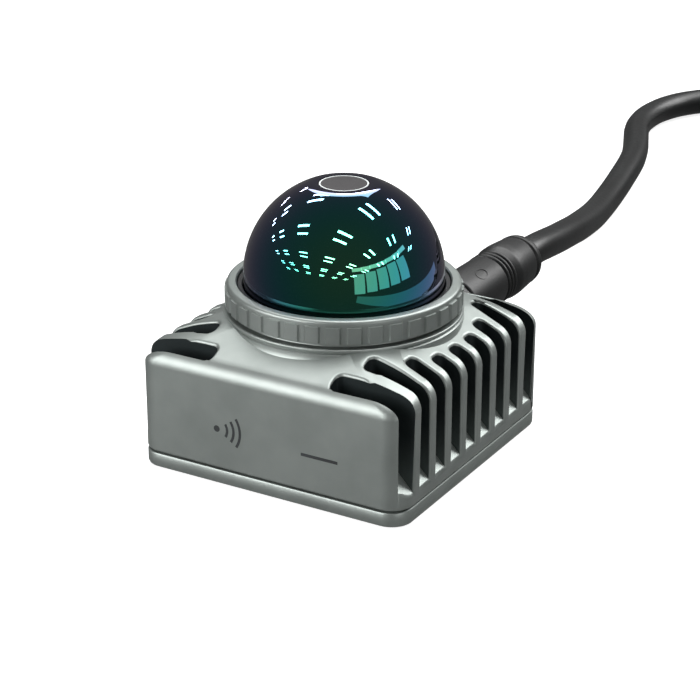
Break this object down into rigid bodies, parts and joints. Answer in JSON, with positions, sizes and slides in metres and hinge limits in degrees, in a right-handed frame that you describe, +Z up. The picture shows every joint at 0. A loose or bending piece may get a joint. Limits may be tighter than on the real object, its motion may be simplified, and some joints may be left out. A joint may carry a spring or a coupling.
{
  "type": "lidar scanner module",
  "caption": "Square finned sensor case with a dark domed window that covers a spinning scan head, and a round screw-on plug whose cable ends in a splitter with network and power plugs.",
  "frame": {"origin": "middle of the flat underside of the base plate", "axes": "+Z up out of the dome, -Y out of the plain front face, +Y out of the rear socket, +X and -X out of the finned sides"},
  "size_m": [0.1415, 0.3592, 0.06],
  "materials": {
    "blasted_aluminium": "satin, bead blasted and anodised silver grey",
    "machined_aluminium": "turned",
    "steel": "ground",
    "coated_window": "polished, dark, with an interference coating",
    "black_rubber": "satin",
    "black_plastic": "moulded, satin",
    "clear_plastic": "moulded, polished",
    "circuit_board": "green solder mask",
    "chip": "moulded",
    "thermal_pad": "soft, matt",
    "copper": "enamelled wire",
    "magnet": "plated",
    "mirror": "polished",
    "lens_glass": "polished",
    "brass": "turned",
    "crown_print": "dark film disc"
  },
  "bodies": {
    "case": {"base_plate": "blasted_aluminium", "main_housing": "blasted_aluminium", "dome_retaining_ring": "blasted_aluminium", "motor_base": "machined_aluminium", "receptacle_shell": "machined_aluminium", "case_screw_1": "steel", "case_screw_2": "steel", "case_screw_3": "steel", "case_screw_4": "steel", "board_screw_1": "steel", "board_screw_2": "steel", "board_screw_3": "steel", "board_screw_4": "steel", "motor_screw_1": "steel", "motor_screw_2": "steel", "motor_screw_3": "steel", "bearing_lower": "steel", "bearing_upper": "steel", "dome_window": "coated_window", "base_seal": "black_rubber", "neck_seal": "black_rubber", "dome_seal": "black_rubber", "receptacle_seal": "black_rubber", "cable_lead": "black_rubber", "cable_coil": "black_rubber", "cable_tail": "black_rubber", "network_lead": "black_rubber", "power_lead": "black_rubber", "signal_harness": "black_rubber", "plug_body": "black_plastic", "plug_insert": "black_plastic", "contact_carrier": "black_plastic", "board_connector": "black_plastic", "optics_tube": "black_plastic", "splitter": "black_plastic", "power_plug": "black_plastic", "network_plug": "clear_plastic", "main_board": "circuit_board", "optics_board": "circuit_board", "processor_chip": "chip", "encoder_sensor": "chip", "thermal_pad": "thermal_pad", "stator_windings": "copper", "fixed_power_coil": "copper", "stator_core": "magnet", "receiver_lens": "lens_glass", "laser_diode": "brass", "crown_disc": "crown_print"},
    "scan_head": {"rotor_hub": "machined_aluminium", "magnet_ring": "magnet", "encoder_disc": "machined_aluminium", "rotating_power_coil": "copper", "scan_frame": "machined_aluminium", "mirror_bearing_left": "steel", "mirror_bearing_right": "steel", "mirror_motor": "machined_aluminium", "counterweight": "brass"},
    "mirror": {"polygon_mirror": "mirror", "mirror_axle": "steel"},
    "coupling_nut": {"coupling_nut": "black_plastic"}
  },
  "joints": [
    {"name": "scan_spin", "type": "hinge", "parent": "case", "child": "scan_head", "pos_m": [0, 0, 0.0395], "axis": [0, 0, 1], "continuous": true},
    {"name": "mirror_spin", "type": "hinge", "parent": "scan_head", "child": "mirror", "pos_m": [0, 0, 0.0395], "axis": [1, 0, 0], "continuous": true},
    {"name": "nut_turn", "type": "hinge", "parent": "case", "child": "coupling_nut", "pos_m": [0, 0.043, 0.0154], "axis": [0, 1, 0], "continuous": true}
  ]
}
